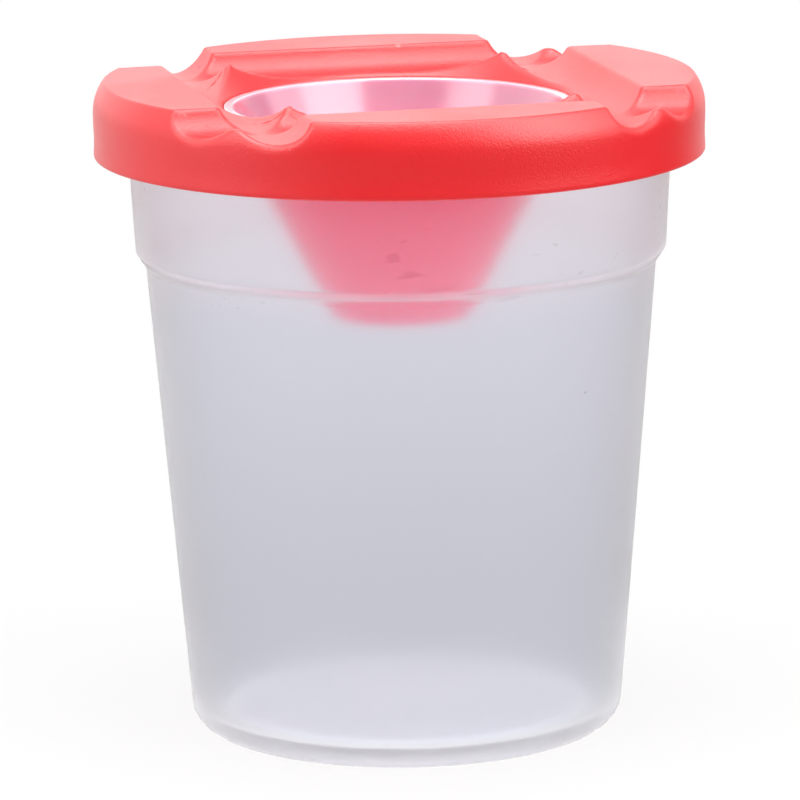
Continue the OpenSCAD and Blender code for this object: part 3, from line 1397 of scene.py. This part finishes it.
    def upper_side(self, shell: ShellMesh) -> tuple[np.ndarray, np.ndarray]:
        """Builds the plateau, the rests, the shoulder and the flared mouth.

        Args:
            shell: Mesh to add to.

        Returns:
            The lowest ring of the shoulder and the lowest ring of the mouth.
        """
        form, steps = self.form, self.round_steps
        outer, inner = self.band(shell)
        centre = self.ring(self.outer_ring_r, self.fan_z, steps)
        level = self.ring(1.0, 0.0, steps)
        tall, wide = form.top_z - self.fan_z, form.lid_r - self.outer_ring_r
        for angle in self.FAN_DEG:
            way = level * wide * math.cos(math.radians(angle))
            way[:, 2] = tall * math.sin(math.radians(angle))
            way /= np.linalg.norm(way, axis=1, keepdims=True)
            outer = shell.grow(outer, form.land(centre, way, self.OUT))
        for radius in self.MOUTH_RINGS:
            start = self.ring(radius, self.fan_z, steps)
            inner = shell.grow(inner, form.land(start, upright(steps), self.UP))
        return outer, inner

    def under_outline(self) -> list[Point2]:
        """Works out the half outline of the underside.

        Returns:
            Its points, from the skirt's edge in to the funnel's ledge.
        """
        form, seat_z = self.form, self.form.funnel.seat_z
        inner_r, arc_r = form.lid_r - form.wall, form.shoulder_r - form.wall
        ceiling, rim_z = form.top_z - form.wall, form.cup.height
        plug_in, plug_low_in = self.plug_r - self.plug_t, self.plug_low_r - self.plug_t
        beyond_plug = np.linspace(self.CEILING_R[0], self.plug_r + self.OFF_PLUG, 5)
        within_plug = np.linspace(plug_in - self.OFF_PLUG, self.CEILING_R[1], 9)
        plug_edges = [
            (self.plug_low_r, 0.0, 0.35), (self.plug_low_r, -0.12, 0.1), (self.plug_low_r, -0.35, 0.0),
            (plug_low_in, 0.3, 0.0), (plug_low_in, 0.08, 0.08), (plug_low_in, 0.0, 0.3),
        ]
        return [
            *((inner_r + inset, form.skirt_z + up) for inset, up in self.SKIRT_EDGE),
            *((form.shoulder_x + math.sqrt(arc_r ** 2 - up ** 2), form.shoulder_z + up)
              for up in self.ARC_RISES),
            *((float(radius), ceiling) for radius in beyond_plug),
            (self.plug_r, ceiling), (self.plug_r, self.PLUG_MIDDLE_Z), (self.plug_r, rim_z),
            *((radius + inset, self.plug_z + up) for radius, inset, up in plug_edges),
            (plug_in, rim_z), (plug_in, self.PLUG_MIDDLE_Z), (plug_in, ceiling),
            *((float(radius), ceiling) for radius in within_plug),
            (self.FLARE_BACK_R[0], ceiling), self.FLARE_MIDDLE, (self.FLARE_BACK_R[1], form.mouth_z),
            *((self.collar_r, height) for height in self.COLLAR_RINGS_Z),
            (self.collar_r, self.collar_z + self.COLLAR_SOFT),
            (self.collar_r - self.COLLAR_SOFT, self.collar_z),
            (self.ledge_r + self.LEDGE_SOFT, self.collar_z),
            (self.ledge_r, self.collar_z + self.LEDGE_SOFT),
            (self.ledge_r, seat_z), (form.pocket_r, seat_z),
        ]

    def roofs(self, ring: np.ndarray) -> np.ndarray:
        """Finds the rests' rounded undersides over a ring.

        Args:
            ring: Points of the ring.

        Returns:
            The height of the lowest underside over each point, or infinity where there is none.
        """
        heights = np.full(len(ring), math.inf)
        for across, rise in ((1, 0.0), (0, self.form.cross_rise)):
            aside = np.abs(np.abs(ring[:, across]) - self.form.rest_at)
            deep = np.sqrt(np.maximum(self.roof_r ** 2 - aside ** 2, 0))
            roof = self.form.rest_axis_z + rise - deep
            heights = np.where(aside < self.roof_r, np.minimum(heights, roof), heights)
        return heights

    def build(self, effects: PlasticEffects) -> Piece:
        """Builds and dresses the lid.

        Args:
            effects: The shared plastic effects.

        Returns:
            The lid's visible piece.
        """
        form, steps = self.form, self.round_steps
        shell = ShellMesh()
        outer, inner = self.upper_side(shell)
        for inset, up, thinning in self.SKIRT_RINGS:
            points = self.ring(form.lid_r - inset, form.skirt_z + up, steps // thinning)
            outer = shell.grow(outer, points)
        for radius, height in self.under_outline():
            points = self.ring(radius, height, steps // self.THINNED)
            points[:, 2] = np.minimum(points[:, 2], self.roofs(points))
            outer = shell.grow(outer, points)
        for height, thinning in self.POCKET_RINGS:
            inner = shell.grow(inner, self.ring(form.pocket_r, height, steps // thinning))
        shell.bridge(inner, outer)
        mesh, points = shell.mesh("lid_shell")
        # Pale lips: a painted highlight along the sharp edges of the upper side, kept as the lip mask
        toned = np.clip(-form.field(points, 0.0) / self.lip_highlight_mm, 0, 1)
        add_mask(mesh, "lip", toned * (points[:, 2] > self.lip_highlight_from_z))
        settle(mesh)
        mesh.materials.append(CORAL.build(effects))
        piece = add_object("lid_shell", mesh)
        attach(piece, Body.LID.value)
        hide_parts("lid")
        return piece


@dataclass(frozen=True)
class Softbox:
    """A studio lamp with a square cloth front, aimed at the cup."""

    name: str
    azimuth: float
    elevation: float
    distance_m: float
    width_m: float
    height_m: float
    watts: float

    def build(self, target: Vector) -> None:
        """Places the lamp round the target.

        Args:
            target: Point that the lamp faces, in metres.
        """
        lamp = bpy.data.lights.new(self.name, "AREA")
        lamp.shape = "RECTANGLE"
        lamp.size, lamp.size_y, lamp.energy = self.width_m, self.height_m, self.watts
        aim(add_object(self.name, lamp), target, outward(self.azimuth, self.elevation), self.distance_m)


@dataclass(frozen=True)
class WhitePanel:
    """A round white panel on the room's wall or ceiling, which only gloss shows."""

    azimuth: float
    elevation: float
    spread_deg: float
    edge_deg: float
    strength: float

    def level(self, graph: Graph, way: Pin) -> Pin:
        """Brightness of the panel in each direction.

        Args:
            graph: Graph to add to.
            way: Direction in which the room is seen.

        Returns:
            The panel's strength inside its edge, and 0 outside.
        """
        facing = graph.measure("DOT_PRODUCT", way, outward(self.azimuth, self.elevation))
        outside, inside = (math.cos(math.radians(self.spread_deg + s * self.edge_deg)) for s in (1, -1))
        return graph.spread(facing, outside, inside, 0.0, self.strength)


@dataclass
class Studio:
    """Pale floor, white room, softboxes and the camera."""

    target: Vector
    camera_azimuth: float = -13.15
    camera_elevation: float = 11.69
    camera_distance_m: float = 0.8468
    camera_roll: float = -0.778
    lens_mm: float = 270.0
    sensor_mm: float = 36.0
    nearest_m: float = 0.05
    farthest_m: float = 50.0
    floor_m: float = 12.0
    floor_grey: float = 0.82
    floor_glow: float = 0.8
    under_cup: float = 1.2
    through_cup: float = 0.68
    far_through_cup: float = 0.86
    room_light: float = 0.3
    bright_side: float = 1.55
    dark_side: float = 0.02
    gloss_turn: float = 46.0
    gloss_tint: Colour = (1.0, 0.97, 0.965, 1.0)

    # Distances from the cup's axis between which the floor's light changes, in metres
    UNDER_CUP_M = (0.022, 0.034)
    BEYOND_CUP_M = (0.04, 0.4)
    MIRRORED_M = (0.06, 0.1)
    GLOW_M = (0.05, 0.22)
    # Between which values of towards_front the mirrored floor and the mirrored room turn dark
    FLOOR_TURN = (-0.35, 0.25)
    ROOM_TURN = (-0.8, 0.7)
    SOFTBOXES = (
        Softbox("softbox_right", azimuth=46.0, elevation=35.0, distance_m=0.9,
                width_m=0.62, height_m=0.85, watts=4.8),
        Softbox("softbox_left", azimuth=-76.0, elevation=35.0, distance_m=0.9,
                width_m=0.45, height_m=0.85, watts=3.2),
        Softbox("softbox_top", azimuth=-13.0, elevation=84.0, distance_m=1.0,
                width_m=0.7, height_m=0.9, watts=8.0),
    )
    PANELS = (
        WhitePanel(azimuth=62.0, elevation=33.0, spread_deg=36.0, edge_deg=4.0, strength=2.3),
        WhitePanel(azimuth=-13.0, elevation=88.0, spread_deg=34.0, edge_deg=5.0, strength=2.4),
        WhitePanel(azimuth=0.0, elevation=34.0, spread_deg=27.0, edge_deg=9.0, strength=0.7),
    )

    def towards_front(self, graph: Graph, vector: Pin) -> Pin:
        """How far a place or a direction lies on the darker side, to the front and right of the cup."""
        return graph.measure("DOT_PRODUCT", vector, outward(self.camera_azimuth + self.gloss_turn, 0.0))

    def floor_light(self, graph: Graph, place: Pin, apart: Pin, gloss: Pin, through: Pin) -> Pin:
        """Strength of the floor's own light, which differs for mirrored and see-through views of it.

        Args:
            graph: Graph to add to.
            place: Place on the floor.
            apart: Distance from the cup's axis.
            gloss: Whether the floor is seen in a mirror.
            through: Whether the floor is seen through the cup.

        Returns:
            The strength.
        """
        level = graph.spread(self.towards_front(graph, place), *self.FLOOR_TURN, 1.0, self.dark_side)
        near = graph.spread(apart, *self.MIRRORED_M, 1.0, 0.0)
        shade = graph.times(gloss, graph.rest(graph.largest(level, near)))
        beyond = graph.spread(apart, *self.BEYOND_CUP_M, self.through_cup, self.far_through_cup)
        clear = graph.spread(apart, *self.UNDER_CUP_M, self.under_cup, beyond)
        dim = graph.times(through, graph.rest(clear))
        return graph.math("SUBTRACT", graph.rest(shade), dim)

    def build_floor(self) -> None:
        """Makes the pale floor, which stays white and keeps the cup's shadow."""
        half = self.floor_m / 2
        corners = [(-half, -half, 0), (half, -half, 0), (half, half, 0), (-half, half, 0)]
        mesh = bpy.data.meshes.new("studio_floor")
        mesh.from_pydata(corners, [], [(0, 1, 2, 3)])
        floor = add_object("studio_floor", mesh)
        material = bpy.data.materials.new("pale_floor")
        graph = Graph.cleared(material)
        matte = graph.node("ShaderNodeBsdfDiffuse")
        graph.fill(matte, {"Color": (self.floor_grey, self.floor_grey, self.floor_grey, 1.0)})
        ray = graph.node("ShaderNodeLightPath")
        through = ray.outputs["Is Transmission Ray"]
        gloss = graph.times(ray.outputs["Is Glossy Ray"], graph.rest(through))
        place = graph.node("ShaderNodeTexCoord").outputs["Object"]
        apart = graph.measure("LENGTH", place)
        glow = graph.node("ShaderNodeEmission")
        graph.fill(glow, {"Strength": self.floor_light(graph, place, apart, gloss, through)})
        shown = graph.spread(apart, *self.GLOW_M, self.floor_glow, 1.0)
        seen = graph.times(ray.outputs["Is Camera Ray"], shown)
        surface = graph.either(graph.largest(seen, gloss, through), matte, glow)
        graph.join(surface, graph.node("ShaderNodeOutputMaterial").inputs["Surface"])
        mesh.materials.append(material)

    def build_room(self) -> None:
        """Makes the white room, which is darker in front of the cup, where only gloss shows it."""
        world = bpy.data.worlds.new("white_room")
        bpy.context.scene.world = world
        graph = Graph.cleared(world)
        ray = graph.node("ShaderNodeLightPath")
        way = graph.node("ShaderNodeTexCoord").outputs["Generated"]
        through, glossy = ray.outputs["Is Transmission Ray"], ray.outputs["Is Glossy Ray"]
        facing = self.towards_front(graph, way)
        walls = graph.spread(facing, *self.ROOM_TURN, self.bright_side, self.dark_side)
        gloss = graph.largest(walls, *(panel.level(graph, way) for panel in self.PANELS))
        strength = graph.largest(
            ray.outputs["Is Camera Ray"],
            graph.times(through, self.far_through_cup),
            graph.times(graph.times(glossy, graph.rest(through)), gloss),
            graph.times(ray.outputs["Is Diffuse Ray"], self.room_light))
        back = graph.node("ShaderNodeBackground")
        graph.fill(back, {"Strength": strength, "Color": graph.blend(glossy, WHITE, self.gloss_tint)})
        graph.join(back.outputs[0], graph.node("ShaderNodeOutputWorld").inputs["Surface"])

    def build_camera(self) -> None:
        """Places the camera where the photograph was taken from."""
        lens = bpy.data.cameras.new("photo_camera")
        lens.lens, lens.sensor_width, lens.sensor_fit = self.lens_mm, self.sensor_mm, "HORIZONTAL"
        lens.clip_start, lens.clip_end = self.nearest_m, self.farthest_m
        camera = add_object("photo_camera", lens)
        back = outward(self.camera_azimuth, self.camera_elevation)
        aim(camera, self.target, back, self.camera_distance_m, self.camera_roll)
        bpy.context.scene.camera = camera

    def build(self) -> None:
        """Builds the whole studio."""
        self.build_floor()
        self.build_room()
        self.build_camera()
        for lamp in self.SOFTBOXES:
            lamp.build(self.target)
        bpy.context.scene.view_settings.view_transform = "Standard"


STUDIO = Studio(target=Vector((-0.0004, 0.0001, 0.0463)))


def report(pieces: Iterable[Piece]) -> None:
    """Logs each piece's size in millimetres.

    Args:
        pieces: The visible pieces.
    """
    for piece in pieces:
        low, high = (Vector(f(v[i] for v in piece.bound_box) for i in range(3)) for f in (min, max))
        LOG.info("%s: %.1f x %.1f x %.1f mm", piece.name, *((high - low) / MM))


def main() -> None:
    """Builds the brush washer and its studio, in order."""
    logging.basicConfig(level=logging.INFO, format="%(name)s %(message)s")
    effects = PlasticEffects()
    turned = TurnedForm()
    cup, funnel = Cup(), Funnel()
    pieces = [
        cup.build(turned, effects),
        Lid(LidForm(cup, funnel)).build(effects),
        funnel.build(turned, effects),
    ]
    STUDIO.build()
    report(pieces)


if __name__ == "__main__":
    main()
